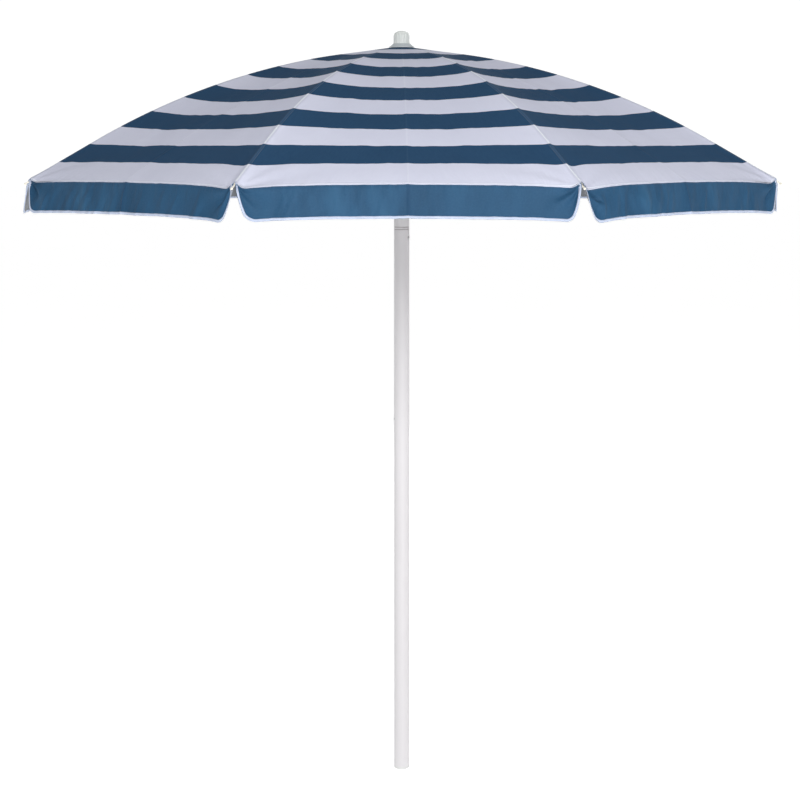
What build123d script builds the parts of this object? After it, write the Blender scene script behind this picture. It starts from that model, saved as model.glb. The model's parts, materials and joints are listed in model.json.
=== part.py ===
from build123d import *
import math
import os

# Beach umbrella with eight panels: a pole in two tubes with a tilt joint between them, a
# runner that slides on the pole, eight steel ribs hinged to the crown hub, eight stretchers
# hinged to the runner, and a striped canopy with a hanging valance.
# Millimetres. +Z is up along the pole and the origin is the centre of the pole's foot.
# The umbrella stands open. One front panel faces -Y, so the ribs lie 22.5 degrees either side
# of each axis.

os.makedirs("parts", exist_ok=True)

# ---------------------------------------------------------------- driving dimensions
OVERCUT = 1.0  # how far a cutting shape runs past the face that it cuts
SEAM = 0.02  # gap between two pieces that stand on each other

RIB_COUNT = 8
PANEL_ANGLE = 360 / RIB_COUNT
FIRST_RIB = PANEL_ANGLE / 2

CANOPY_RADIUS = 777.0  # pole axis to the canopy's corner at a rib
CROWN_HEIGHT = 1522.6  # canopy's outer face, carried on to the pole's axis
CROWN_SLOPE = 8.2  # fall of the rib beside the crown, degrees
HEM_SLOPE = 29.36  # fall of the rib at the hem, degrees
BEND_START = 0.165 * CANOPY_RADIUS
BEND_END = 0.8346 * CANOPY_RADIUS
PANEL_SAG = 0.0173 * CANOPY_RADIUS  # how far a panel's middle hangs below its ribs
CLOTH = 1.0  # thickness of the canopy solid
SECTOR_GAP = 0.25  # half of the gap between two neighbouring sectors at the panel's crease
CANOPY_HOLE = 21.0  # radius of the canopy's opening round the finial, at the ribs

VALANCE_DROP = 60.0
VALANCE_FLARE = 10.0  # degrees outwards from vertical
# The V between two valances leans: distance from the rib to each valance's end, at the hem and
# at the lower edge. Seen from outside, the first is a valance's left end, the second its right.
LEFT_NOTCH = (4.6, 16.0)
RIGHT_NOTCH = (3.2, 11.0)

POLE_RADIUS = 16.0
POLE_WALL = 1.4
POLE_BORE = POLE_RADIUS - POLE_WALL
FOOT_LIP = 6.0
FOOT_PLUG_START = 3.0  # foot of the plug inside the lip
FOOT_PLUG_TOP = 42.0
FOOT_PLUG_WALL = 4.0  # between the tube's bore and the plug's hollow
FOOT_PLUG_FLOOR = 8.0
LOWER_POLE_TOP = 1164.0
GROOVES = (1143.4, 1148.0)  # two rolled grooves that crimp the tube on the tilt tongue
GROOVE_RADIUS = 0.7
DEPTH_MARK = 400.0  # fine scored ring, as far as the pole goes down in a base's socket
DEPTH_MARK_RADIUS = 0.4

TILT_HEIGHT = 1184.0
KNUCKLE_RADIUS = 15.0
SHOULDER = 16.0  # tilt axis to the shoulder above and below it
TONGUE_THICKNESS = 12.0
TONGUE_WIDTH = 22.0
TONGUE_INSET = 0.3  # how far the tongue's sides stand inside the pole's
TONGUE_CLEARANCE = 0.5  # between the tongue's round end and the fork
FORK_RIM = 0.8  # thickness of the fork's disc on the tube's end
TILT_SIDE_GAP = 0.15
TILT_PIN_RADIUS = 4.0
PIN_CLEARANCE = 0.05
TONGUE_PLUG_FOOT = 1092.0
FORK_PLUG_TOP = 1222.0

CATCH_AZIMUTH = -27.0  # side of the pole that carries the tilt button and the open catch
BUTTON_HEIGHT = 1125.7
BUTTON_RADIUS = 3.0
BUTTON_STAND = 1.4  # how far the tilt button stands out of the pole
LEAF_THICKNESS = 0.8
LEAF_WIDTH = 6.0
LEAF_LENGTH = 46.0
LEAF_ROLL = 0.9  # radius of the rolled end at a catch leaf's root
LEAF_INSET = 1.0  # gap between a catch's leaf and the tube's bore
BUTTON_LEAF_INSET = 0.5
BUTTON_LEAF_MARGIN = 4.0  # button leaf, beyond the button and above the plug's foot
CATCH_STAND = 2.4  # how far a catch's nose stands out of the pole
CATCH_HEIGHT = 12.0
CATCH_WIDTH = 2.4
CATCH_GAP = 0.6  # between a catch's nose and the runner that it holds

HUB_HINGE_RADIUS = 24.0
HUB_HINGE_HEIGHT = 1508.5
HUB_RADIUS = 29.0
HUB_FOOT = 1501.5
HUB_TOP = 1515.5
HUB_CORE = 19.3
HUB_PLUG = 20.0
RING_WIRE = 1.2  # radius of the wire rings that the ribs and stretchers hinge on
SLOT_WIDTH = 3.4
EYE_THICKNESS = 2.6
EYE_RADIUS = 4.0
EYE_HOLE = RING_WIRE + 0.1
EYE_BLOCK = 18.0  # flat part of a stretcher beside the runner

WASHER_RADIUS = 34.0
WASHER_THICKNESS = 0.5
FINIAL_RADIUS = 17.0
FINIAL_TOP = 1553.8
FINIAL_ROUND = 12.0
FINIAL_BOSS = 17.9  # foot of the cap, inside the canopy's opening
FLANGE_RADIUS = 26.3
FLANGE_TOP = 1528.0
STEM_RADIUS = 6.0

RIB_RADIUS = 2.0
RIB_BELOW_CLOTH = 4.6  # canopy's outer face down to the rib's centre line
RIB_START = 40.0  # pole axis to the wire's inner end, which the flat eye carries on
RIB_END = CANOPY_RADIUS - 4.0
RIB_TAB_OVERLAP = 8.0
RIB_TAB_HALF = 1.8
TIP_START = CANOPY_RADIUS - 23.0
TIP_SHOULDER = CANOPY_RADIUS + 0.5  # where the cap's sleeve steps down to its pin
TIP_END = CANOPY_RADIUS + 13.0  # centre of the ball on the pin
TIP_RADIUS = 2.9
TIP_PIN = 1.5
TIP_BALL = 2.3

PIVOT_RADIUS = 404.0  # pole axis to the rib bracket
PIVOT_DROP = 8.0  # rib's centre line to the stretcher's pivot
BRACKET_HALF = 3.3
BRACKET_LENGTH = 24.0
BRACKET_EDGE = 4.0  # sheet below the rivet
BRACKET_SLOT = 2.4  # width between the folded sheet's two sides
STRETCHER_RADIUS = 2.2
STRETCHER_OFFSET = 6.2  # stretcher's outer end stands beside its rib, clear of it
STRETCHER_TAB = 2.0
STRETCHER_TAB_LENGTH = 14.0
STRETCHER_TAB_RADIUS = 4.0
RIVET_RADIUS = 2.0
RIVET_HEAD_RADIUS = 3.2
RIVET_HEAD_HEIGHT = 2.4

RUNNER_HINGE_RADIUS = 27.0
RUNNER_HINGE_HEIGHT = 1285.0
RUNNER_BORE = POLE_RADIUS + 0.35
RUNNER_SLEEVE = 20.5
RUNNER_FLANGE = 32.0
RUNNER_FOOT = 1240.0
RUNNER_FLANGE_FOOT = 1277.0
RUNNER_TOP = 1293.0
RUNNER_CORE = 21.5
RUNNER_KEYWAY = 8.0
RUNNER_KEYWAY_RADIUS = 19.0

RIB_FOLD = 69.0  # degrees that each rib swings down when the umbrella closes


# ---------------------------------------------------------------- derived geometry
def tilt_vector(slope):
    """Unit normal, as (outwards, up), of a surface that falls outwards at this slope."""
    return math.sin(math.radians(slope)), math.cos(math.radians(slope))


SIN_CROWN, COS_CROWN = tilt_vector(CROWN_SLOPE)
SIN_HEM, COS_HEM = tilt_vector(HEM_SLOPE)
BEND_RADIUS = (BEND_END - BEND_START) / (SIN_HEM - SIN_CROWN)
BEND_START_HEIGHT = CROWN_HEIGHT - BEND_START * SIN_CROWN / COS_CROWN
BEND_CENTRE = (
    BEND_START - BEND_RADIUS * SIN_CROWN,
    BEND_START_HEIGHT - BEND_RADIUS * COS_CROWN,
)
BEND_END_HEIGHT = BEND_CENTRE[1] + BEND_RADIUS * COS_HEM


def slope_at(radius):
    """Fall of the canopy over a rib, in degrees, at a distance from the pole's axis."""
    if radius <= BEND_START:
        return CROWN_SLOPE
    if radius >= BEND_END:
        return HEM_SLOPE
    return math.degrees(math.asin((radius - BEND_CENTRE[0]) / BEND_RADIUS))


def cloth_height(radius):
    """Height of the canopy's outer face over a rib."""
    if radius <= BEND_START:
        return CROWN_HEIGHT - radius * SIN_CROWN / COS_CROWN
    if radius >= BEND_END:
        return BEND_END_HEIGHT - (radius - BEND_END) * SIN_HEM / COS_HEM
    return BEND_CENTRE[1] + BEND_RADIUS * tilt_vector(slope_at(radius))[1]


def below_cloth(radius, depth):
    """Point (outwards, up) at a depth under the canopy's outer face, square to it."""
    out, up = tilt_vector(slope_at(radius))
    return radius - depth * out, cloth_height(radius) - depth * up


def panel_sag(radius):
    """How far the panel's middle hangs below its ribs, at the ribs' own radius."""
    share = max(0.0, radius / CANOPY_RADIUS - 0.1) / 0.9
    return PANEL_SAG * abs(math.sin(math.pi * min(1.0, share) ** 1.2)) ** 1.2


PIVOT = below_cloth(PIVOT_RADIUS, RIB_BELOW_CLOTH + PIVOT_DROP)
HUB_HINGE = (HUB_HINGE_RADIUS, HUB_HINGE_HEIGHT)
RUNNER_HINGE = (RUNNER_HINGE_RADIUS, RUNNER_HINGE_HEIGHT)
STRETCHER_LENGTH = math.dist(PIVOT, RUNNER_HINGE)
STRETCHER_SLOPE = math.degrees(
    math.atan2(PIVOT[1] - RUNNER_HINGE[1], PIVOT[0] - RUNNER_HINGE[0])
)
PIVOT_ARM = math.dist(PIVOT, HUB_HINGE)
PIVOT_SLOPE = math.degrees(
    math.atan2(HUB_HINGE[1] - PIVOT[1], PIVOT[0] - HUB_HINGE[0])
)

# The closed umbrella: the rib has swung down, and the stretcher and the runner follow it.
CLOSED_SLOPE = math.radians(PIVOT_SLOPE + RIB_FOLD)
CLOSED_PIVOT = (
    HUB_HINGE[0] + PIVOT_ARM * math.cos(CLOSED_SLOPE),
    HUB_HINGE[1] - PIVOT_ARM * math.sin(CLOSED_SLOPE),
)
CLOSED_STRETCHER = math.acos((CLOSED_PIVOT[0] - RUNNER_HINGE[0]) / STRETCHER_LENGTH)
CLOSED_RUNNER = CLOSED_PIVOT[1] - STRETCHER_LENGTH * math.sin(CLOSED_STRETCHER)
RUNNER_TRAVEL = RUNNER_HINGE[1] - CLOSED_RUNNER

OPEN_CATCH_TOP = RUNNER_FOOT - CATCH_GAP
CLOSED_CATCH_FOOT = RUNNER_TOP - RUNNER_TRAVEL + CATCH_GAP


# ---------------------------------------------------------------- helpers
def write(shape, name):
    """Writes one node's STEP file."""
    export_step(shape, f"parts/{name}.step")


def rod(radius, low, high):
    """Solid cylinder on the pole's axis between two heights."""
    return Pos(0, 0, low) * extrude(Circle(radius), high - low)


def tube(outer, inner, low, high):
    """Hollow cylinder on the pole's axis between two heights."""
    return rod(outer, low, high) - rod(inner, low, high)


def block(x, y, z):
    """Box between two values along each axis."""
    size = (x[1] - x[0], y[1] - y[0], z[1] - z[0])
    return Pos(sum(x) / 2, sum(y) / 2, sum(z) / 2) * Box(*size)


def turned(points, closed=True):
    """Solid of revolution about the pole's axis from (outwards, up) points."""
    outline = make_face(Polyline(*[(x, 0, z) for x, z in points], close=closed))
    return revolve(outline, Axis.Z)


def cross_pin(radius, half_length, x, z):
    """Cylinder along Y, centred in the XZ plane."""
    return Pos(x, 0, z) * Rot(90, 0, 0) * Cylinder(radius, 2 * half_length)


def wire_ring(hinge):
    """Ring of round wire about the pole's axis."""
    return Pos(0, 0, hinge[1]) * Torus(hinge[0], RING_WIRE)


def at_ribs(shape):
    """One copy of a shape for each rib."""
    return [
        Rot(0, 0, FIRST_RIB + PANEL_ANGLE * index) * shape for index in range(RIB_COUNT)
    ]


def bar(start, end, radius):
    """Round bar between two points in space."""
    path = Line(start, end)
    return sweep(Plane(origin=path @ 0, z_dir=path % 0) * Circle(radius), path)


def slotted_disc(body, hinge, core):
    """Cuts a slot for every rib, and the groove of the wire ring, in a hub's disc."""
    reach = HUB_RADIUS + RUNNER_FLANGE
    half = SLOT_WIDTH / 2
    slot = block((core, reach), (-half, half), (hinge[1] - 40, hinge[1] + 40))
    for cut in at_ribs(slot):
        body -= cut
    return body - Pos(0, 0, hinge[1]) * Torus(hinge[0], RING_WIRE + PIN_CLEARANCE)


# ---------------------------------------------------------------- lower pole
def nose_slot(azimuth, low):
    """Opening in the pole's wall that a catch's nose passes through."""
    half = CATCH_WIDTH / 2 + 0.4
    high = low + CATCH_HEIGHT
    slot = block((POLE_BORE - OVERCUT, POLE_RADIUS + OVERCUT), (-half, half), (low - 0.8, high + 0.8))
    return Rot(0, 0, azimuth) * slot


def button_hole(radius):
    """Round hole through the pole's wall at the tilt button."""
    hole = Pos(POLE_RADIUS, 0, BUTTON_HEIGHT) * Rot(0, 90, 0) * Cylinder(radius, POLE_RADIUS)
    return Rot(0, 0, CATCH_AZIMUTH) * hole


def lower_pole():
    """Lower tube, crimped on the tilt tongue by two grooves."""
    shape = tube(POLE_RADIUS, POLE_BORE, FOOT_LIP, LOWER_POLE_TOP)
    for height in GROOVES:
        shape -= Pos(0, 0, height) * Torus(POLE_RADIUS, GROOVE_RADIUS)
    shape -= Pos(0, 0, DEPTH_MARK) * Torus(POLE_RADIUS, DEPTH_MARK_RADIUS)
    shape -= button_hole(BUTTON_RADIUS + 0.3)
    return shape - nose_slot(CATCH_AZIMUTH + 180, CLOSED_CATCH_FOOT)


def pole_foot():
    """Plastic plug with a rounded lip that closes the tube's lower end."""
    lip = rod(POLE_RADIUS, 0, FOOT_LIP - SEAM)
    lip = chamfer(lip.edges().group_by(Axis.Z)[0], 1.0)
    plug = rod(POLE_BORE - PIN_CLEARANCE, FOOT_PLUG_START, FOOT_PLUG_TOP)
    plug = chamfer(plug.edges().group_by(Axis.Z)[-1], 1.2)
    return lip + plug - rod(POLE_BORE - FOOT_PLUG_WALL, FOOT_PLUG_FLOOR, FOOT_PLUG_TOP + OVERCUT)


def tilt_tongue():
    """Lower half of the tilt joint: a plug with a rounded tongue."""
    plug = rod(POLE_BORE - PIN_CLEARANCE, TONGUE_PLUG_FOOT, LOWER_POLE_TOP + 1)
    shoulder = rod(POLE_RADIUS, LOWER_POLE_TOP + SEAM, TILT_HEIGHT - SHOULDER)
    half = TONGUE_THICKNESS / 2
    width = (-TONGUE_WIDTH / 2, TONGUE_WIDTH / 2)
    tongue = cross_pin(KNUCKLE_RADIUS - TONGUE_CLEARANCE, half, 0, TILT_HEIGHT)
    tongue += block(width, (-half, half), (TILT_HEIGHT - SHOULDER - 1, TILT_HEIGHT))
    tongue &= rod(POLE_RADIUS - TONGUE_INSET, TILT_HEIGHT - 20, TILT_HEIGHT + 20)
    shape = plug + shoulder + tongue
    shape -= cross_pin(TILT_PIN_RADIUS + PIN_CLEARANCE, POLE_RADIUS + OVERCUT, 0, TILT_HEIGHT)
    # pocket for the button's leaf, open at the foot of the plug and towards the wall
    side = LEAF_WIDTH / 2 + 0.6
    pocket = block((6, POLE_RADIUS + 1), (-side, side), (TONGUE_PLUG_FOOT - 1, BUTTON_HEIGHT + 7))
    return shape - Rot(0, 0, CATCH_AZIMUTH) * pocket


def tilt_button():
    """Round button that stands out of the pole below the tilt joint."""
    reach = POLE_RADIUS + BUTTON_STAND
    seat = POLE_BORE - BUTTON_LEAF_INSET
    button = Rot(0, 90, 0) * Cylinder(BUTTON_RADIUS, reach - seat)
    button = Pos((reach + seat) / 2, 0, BUTTON_HEIGHT) * button
    button = fillet(button.edges().group_by(Axis.X)[-1], 0.8)
    return Rot(0, 0, CATCH_AZIMUTH) * button


def tilt_button_leaf():
    """Leaf spring behind the tilt button, fixed near the foot of the tilt tongue."""
    outer = POLE_BORE - BUTTON_LEAF_INSET
    half = LEAF_WIDTH / 2
    span = (TONGUE_PLUG_FOOT + BUTTON_LEAF_MARGIN, BUTTON_HEIGHT + BUTTON_LEAF_MARGIN)
    leaf = block((outer - LEAF_THICKNESS, outer), (-half, half), span)
    return Rot(0, 0, CATCH_AZIMUTH) * leaf


def catch(azimuth, low, root):
    """Flat sprung catch: a leaf inside the tube, rolled at its root, with a nose that stands out."""
    outer = POLE_BORE - LEAF_INSET
    half = CATCH_WIDTH / 2
    high = low + CATCH_HEIGHT
    away = 1 if root > low else -1
    square, sloped = (high, low) if away > 0 else (low, high)
    nose = [
        (outer - 1.5, square),
        (POLE_RADIUS + CATCH_STAND, square),
        (POLE_RADIUS + CATCH_STAND, square - away * CATCH_HEIGHT * 0.25),
        (POLE_RADIUS - 1.0, sloped),
        (outer - 1.5, sloped),
    ]
    face = make_face(Polyline(*[(x, 0, z) for x, z in nose], close=True))
    plate = extrude(face, half, dir=(0, 1, 0), both=True)
    ends = sorted((sloped, root))
    leaf = block((outer - LEAF_THICKNESS, outer), (-half, half), tuple(ends))
    leaf += cross_pin(LEAF_ROLL, half, outer - LEAF_THICKNESS / 2, root)
    return Rot(0, 0, azimuth) * (plate + leaf)


# ---------------------------------------------------------------- upper pole
def upper_pole():
    """Upper tube, between the tilt joint and the crown hub."""
    shape = tube(POLE_RADIUS, POLE_BORE, TILT_HEIGHT + SHOULDER + SEAM, HUB_FOOT - SEAM)
    return shape - nose_slot(CATCH_AZIMUTH, OPEN_CATCH_TOP - CATCH_HEIGHT)


def tilt_fork():
    """Upper half of the tilt joint: two rounded ears under a plug."""
    base = TILT_HEIGHT + SHOULDER
    ears = cross_pin(KNUCKLE_RADIUS, POLE_RADIUS, 0, TILT_HEIGHT)
    ears += block((-KNUCKLE_RADIUS, KNUCKLE_RADIUS), (-POLE_RADIUS, POLE_RADIUS), (TILT_HEIGHT, base))
    ears &= rod(POLE_RADIUS, TILT_HEIGHT - KNUCKLE_RADIUS, base)
    slot = TONGUE_THICKNESS / 2 + TILT_SIDE_GAP
    ears -= block((-20, 20), (-slot, slot), (TILT_HEIGHT - 20, base + 1))
    plug = rod(POLE_BORE - PIN_CLEARANCE, base - FORK_RIM, FORK_PLUG_TOP)
    shape = ears + plug + rod(POLE_RADIUS, base - FORK_RIM, base)
    return shape - cross_pin(TILT_PIN_RADIUS, POLE_RADIUS + OVERCUT, 0, TILT_HEIGHT)


def tilt_pin():
    """Steel pin through the fork's ears and the tongue."""
    return cross_pin(TILT_PIN_RADIUS - 0.02, POLE_RADIUS - 1.2, 0, TILT_HEIGHT)


def crown_hub():
    """Slotted hub that the ribs hinge on, plugged in the top of the upper tube."""
    disc = rod(HUB_RADIUS, HUB_FOOT, HUB_TOP)
    disc = chamfer(disc.edges().group_by(Axis.Z)[-1], 1.0)
    shape = slotted_disc(disc, HUB_HINGE, HUB_CORE)
    shape += rod(POLE_BORE - PIN_CLEARANCE, HUB_FOOT - HUB_PLUG, HUB_FOOT + 1)
    return shape - rod(STEM_RADIUS, HUB_FOOT - HUB_PLUG - OVERCUT, HUB_TOP + OVERCUT)


def crown_washer():
    """Thin cloth disc between the hub and the canopy, which hides the hub when it is closed."""
    low = HUB_TOP + SEAM
    return tube(WASHER_RADIUS, STEM_RADIUS + 0.3, low, low + WASHER_THICKNESS)


def finial():
    """Screwed cap with a sloping flange that clamps the canopy on the hub."""
    foot = HUB_TOP + WASHER_THICKNESS + 0.05
    outer = cloth_height(FLANGE_RADIUS) + 0.4
    inner = cloth_height(FINIAL_BOSS) + 0.4
    cap = turned(
        [
            (0, foot),
            (FINIAL_BOSS, foot),
            (FINIAL_BOSS, inner),
            (FLANGE_RADIUS, outer),
            (FLANGE_RADIUS, outer + 1.6),
            (FINIAL_RADIUS + 0.6, FLANGE_TOP),
            (FINIAL_RADIUS, FLANGE_TOP),
            (FINIAL_RADIUS, FINIAL_TOP),
            (0, FINIAL_TOP),
        ]
    )
    cap = fillet(cap.edges().group_by(Axis.Z)[-1], FINIAL_ROUND)
    return cap + rod(STEM_RADIUS - PIN_CLEARANCE, HUB_FOOT - 6, foot + 1)


# ---------------------------------------------------------------- runner
def runner():
    """Sliding sleeve with a slotted flange; two keyways clear the button and catches."""
    sleeve = rod(RUNNER_SLEEVE, RUNNER_FOOT, RUNNER_FLANGE_FOOT + 1)
    sleeve = chamfer(sleeve.edges().group_by(Axis.Z)[0], 1.0)
    flange = rod(RUNNER_FLANGE, RUNNER_FLANGE_FOOT, RUNNER_TOP)
    flange = chamfer(flange.edges().group_by(Axis.Z)[0], 4.0)
    rim = rod(RUNNER_SLEEVE + 2.5, RUNNER_FOOT, RUNNER_FOOT + 5)
    rim = fillet(rim.edges(), 1.2)
    shape = sleeve + rim + slotted_disc(flange, RUNNER_HINGE, RUNNER_CORE)
    heights = (RUNNER_FOOT - OVERCUT, RUNNER_TOP + OVERCUT)
    shape -= rod(RUNNER_BORE, *heights)
    half = RUNNER_KEYWAY / 2
    keyway = block((0, RUNNER_KEYWAY_RADIUS), (-half, half), heights)
    for azimuth in (CATCH_AZIMUTH, CATCH_AZIMUTH + 180):
        shape -= Rot(0, 0, azimuth) * keyway
    return shape


# ---------------------------------------------------------------- ribs and stretchers
def rib_point(radius):
    """Point of the rib's centre line under the canopy at this radius, in the XZ plane."""
    out, up = below_cloth(radius, RIB_BELOW_CLOTH)
    return (out, 0, up)


def rib():
    """Round steel rib, bent in its middle stretch, with a flat eye on the hub's ring."""
    middle = (BEND_START + BEND_END) / 2
    path = Wire(
        [
            Line(rib_point(RIB_START), rib_point(BEND_START)),
            ThreePointArc(rib_point(BEND_START), rib_point(middle), rib_point(BEND_END)),
            Line(rib_point(BEND_END), rib_point(RIB_END)),
        ]
    )
    wire = sweep(Plane(origin=path @ 0, z_dir=path % 0) * Circle(RIB_RADIUS), path)
    x, z = HUB_HINGE
    tip = rib_point(RIB_START + RIB_TAB_OVERLAP)
    tab = [
        (x, 0, z + EYE_RADIUS - 0.4),
        (tip[0], 0, tip[2] + RIB_TAB_HALF),
        (tip[0], 0, tip[2] - RIB_TAB_HALF),
        (x, 0, z - EYE_RADIUS + 0.4),
    ]
    plate = extrude(make_face(Polyline(*tab, close=True)), EYE_THICKNESS / 2, dir=(0, 1, 0), both=True)
    plate += cross_pin(EYE_RADIUS, EYE_THICKNESS / 2, x, z)
    return wire + plate - cross_pin(EYE_HOLE, EYE_THICKNESS, x, z)


def rib_tip():
    """Plastic cap on the rib's end, sewn into the canopy's corner, with a pin and a small ball."""
    shape = bar(rib_point(TIP_START), rib_point(TIP_SHOULDER), TIP_RADIUS)
    shape = chamfer(shape.edges(), 0.6)
    shape += bar(rib_point(TIP_SHOULDER - 1), rib_point(TIP_END), TIP_PIN)
    shape += Pos(*rib_point(TIP_END)) * Sphere(TIP_BALL)
    return shape - bar(rib_point(TIP_START - 2), rib_point(RIB_END + 1), RIB_RADIUS + PIN_CLEARANCE)


def rib_bracket():
    """Folded sheet bracket on the rib that the stretcher's end stands beside."""
    centre = Vector(*rib_point(PIVOT_RADIUS))
    tilt = Rot(0, slope_at(PIVOT_RADIUS), 0)
    half = BRACKET_LENGTH / 2
    heights = (-PIVOT_DROP - BRACKET_EDGE, RIB_RADIUS - 0.9)
    plate = block((-half, half), (-BRACKET_HALF, BRACKET_HALF), heights)
    plate = fillet(plate.edges().filter_by(Axis.Y).group_by(Axis.Z)[0], BRACKET_EDGE - 0.1)
    groove = Rot(0, 90, 0) * Cylinder(RIB_RADIUS + PIN_CLEARANCE, BRACKET_LENGTH + 2 * OVERCUT)
    plate -= groove
    slot = (-BRACKET_SLOT / 2, BRACKET_SLOT / 2)
    below = (-PIVOT_DROP - BRACKET_EDGE - OVERCUT, -RIB_RADIUS)
    plate -= block((-half - OVERCUT, half + OVERCUT), slot, below)
    rivet = Pos(0, 0, -PIVOT_DROP) * Rot(90, 0, 0) * Cylinder(RIVET_RADIUS, 2 * BRACKET_HALF - 0.4)
    return Pos(*centre) * tilt * (plate + rivet)


def stretcher():
    """Steel stretcher with an eye on the runner's ring and a flat end beside the rib."""
    slope = math.radians(STRETCHER_SLOPE)
    along = Vector(math.cos(slope), 0, math.sin(slope))
    inner = Vector(RUNNER_HINGE[0], 0, RUNNER_HINGE[1])
    outer = Vector(PIVOT[0], STRETCHER_OFFSET, PIVOT[1])
    start = inner + along * (EYE_BLOCK - 5)
    end = outer - along * 7
    shape = bar(start, end, STRETCHER_RADIUS)
    lean = Rot(0, -STRETCHER_SLOPE, 0)
    eye = block((0, EYE_BLOCK), (-EYE_THICKNESS / 2, EYE_THICKNESS / 2), (-2.6, 2.6))
    shape += Pos(*inner) * lean * eye
    shape += cross_pin(EYE_RADIUS, EYE_THICKNESS / 2, *RUNNER_HINGE)
    shape -= cross_pin(EYE_HOLE, EYE_THICKNESS, *RUNNER_HINGE)
    high = (-STRETCHER_TAB_RADIUS, STRETCHER_TAB_RADIUS)
    tab = block((-STRETCHER_TAB_LENGTH, 0), (-STRETCHER_TAB / 2, STRETCHER_TAB / 2), high)
    tab += cross_pin(STRETCHER_TAB_RADIUS, STRETCHER_TAB / 2, 0, 0)
    head = Pos(0, STRETCHER_TAB / 2, 0) * cross_pin(RIVET_HEAD_RADIUS, RIVET_HEAD_HEIGHT / 2, 0, 0)
    inside = Pos(0, -STRETCHER_TAB / 2, 0) * cross_pin(RIVET_RADIUS, STRETCHER_TAB / 2, 0, 0)
    return shape + Pos(*outer) * lean * (tab + head + inside)


# ---------------------------------------------------------------- canopy
def panel_point(radius, across, setback):
    """Point on the outer face at the ribs' radius; across runs 0 at the rib to 1 at the crease."""
    half = math.radians(PANEL_ANGLE / 2)
    reach = abs(across) * radius * math.sin(half)
    reach = max(0.0, reach - (setback if abs(across) == 1 else 0))
    # the chord from the rib to the panel's middle, seen from above with the rib along X
    x = radius - reach * math.sin(half)
    y = reach * math.cos(half)
    sag = panel_sag(radius) * (1 - (1 - abs(across)) ** 2.5)
    return Vector(x, math.copysign(y, across), cloth_height(radius) - sag)


def sheet_solid(quads, outer, inner):
    """Closed solid between two sheets of points that share one list of four-sided patches."""
    triangles = []
    edges = {}
    for a, b, c, d in quads:
        for one, two, three in ((a, b, c), (a, c, d)):
            triangles.append((outer[one], outer[two], outer[three]))
            triangles.append((inner[one], inner[three], inner[two]))
            for edge in ((one, two), (two, three), (three, one)):
                edges[edge] = edges.get(edge, 0) + 1
    for start, end in edges:
        if (end, start) not in edges:
            triangles.append((outer[start], inner[start], inner[end]))
            triangles.append((outer[start], inner[end], outer[end]))
    faces = [Face(Wire.make_polygon(corners, close=True)) for corners in triangles]
    return Solid(Shell(faces))


def canopy_sector():
    """Cloth over one rib, from crease to crease, with the two half valances at its hem."""
    stations = [CANOPY_HOLE, 0.1 * CANOPY_RADIUS]
    stations += [CANOPY_RADIUS * share for share in (0.25, 0.4, 0.55, 0.7, 0.85)]
    across = (-1, -0.4, 0, 0.4, 1)
    outer, inner, quads = {}, {}, []
    for row, radius in enumerate(stations):
        for column, share in enumerate(across):
            point = panel_point(radius, share, SECTOR_GAP)
            outer[row, column] = point
            inner[row, column] = point - Vector(0, 0, CLOTH)
    # hem, with room for the rib's cap at the middle, then the lower edge of the valances
    hem, foot = len(stations), len(stations) + 1
    flare = math.tan(math.radians(VALANCE_FLARE))
    for column, share in enumerate(across):
        point = panel_point(CANOPY_RADIUS, share, SECTOR_GAP)
        outer[hem, column] = point
        if share:
            side = math.copysign(PANEL_ANGLE / 2, share)
            away = Vector(math.cos(math.radians(side)), math.sin(math.radians(side)), 0)
            outer[foot, column] = point + away * VALANCE_DROP * flare - Vector(0, 0, VALANCE_DROP)
            inner[hem, column] = point - away * CLOTH - Vector(0, 0, CLOTH)
            inner[foot, column] = outer[foot, column] - away * CLOTH
    inner[hem, 2] = outer[hem, 2] - Vector(0, 0, CLOTH)
    for row in range(hem):
        for column in range(4):
            quads.append(((row, column), (row + 1, column), (row + 1, column + 1), (row, column + 1)))
    # each half valance starts a little beside the rib and narrows downwards
    for side, near, far, notch in ((-1, 1, 0, RIGHT_NOTCH), (1, 3, 4, LEFT_NOTCH)):
        turn = math.radians(side * PANEL_ANGLE / 2)
        along = Vector(-math.sin(turn), math.cos(turn), 0) * side
        corner = panel_point(CANOPY_RADIUS, 0, 0)
        shift = outer[foot, far] - outer[hem, far]
        outer[hem, near] = corner + along * notch[0]
        outer[foot, near] = corner + along * notch[1] + shift
        away = Vector(math.cos(turn), math.sin(turn), 0)
        inner[hem, near] = outer[hem, near] - away * CLOTH - Vector(0, 0, CLOTH)
        inner[foot, near] = outer[foot, near] - away * CLOTH
        patch = ((hem, near), (foot, near), (foot, far), (hem, far))
        quads.append(patch if side > 0 else patch[::-1])
    return sheet_solid(quads, outer, inner)


# ---------------------------------------------------------------- write every node
FIXED_NODES = {
    "lower_pole": lower_pole,
    "pole_foot": pole_foot,
    "tilt_tongue": tilt_tongue,
    "tilt_button": tilt_button,
    "tilt_button_leaf": tilt_button_leaf,
    "upper_pole": upper_pole,
    "tilt_fork": tilt_fork,
    "tilt_pin": tilt_pin,
    "crown_hub": crown_hub,
    "crown_washer": crown_washer,
    "finial": finial,
    "runner": runner,
}
for node, make in FIXED_NODES.items():
    write(make(), node)

write(wire_ring(HUB_HINGE), "hub_ring")
write(wire_ring(RUNNER_HINGE), "runner_ring")
open_root = OPEN_CATCH_TOP - CATCH_HEIGHT + LEAF_LENGTH
write(catch(CATCH_AZIMUTH, OPEN_CATCH_TOP - CATCH_HEIGHT, open_root), "open_catch")
closed_root = CLOSED_CATCH_FOOT + CATCH_HEIGHT - LEAF_LENGTH
write(catch(CATCH_AZIMUTH + 180, CLOSED_CATCH_FOOT, closed_root), "closed_catch")

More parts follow.
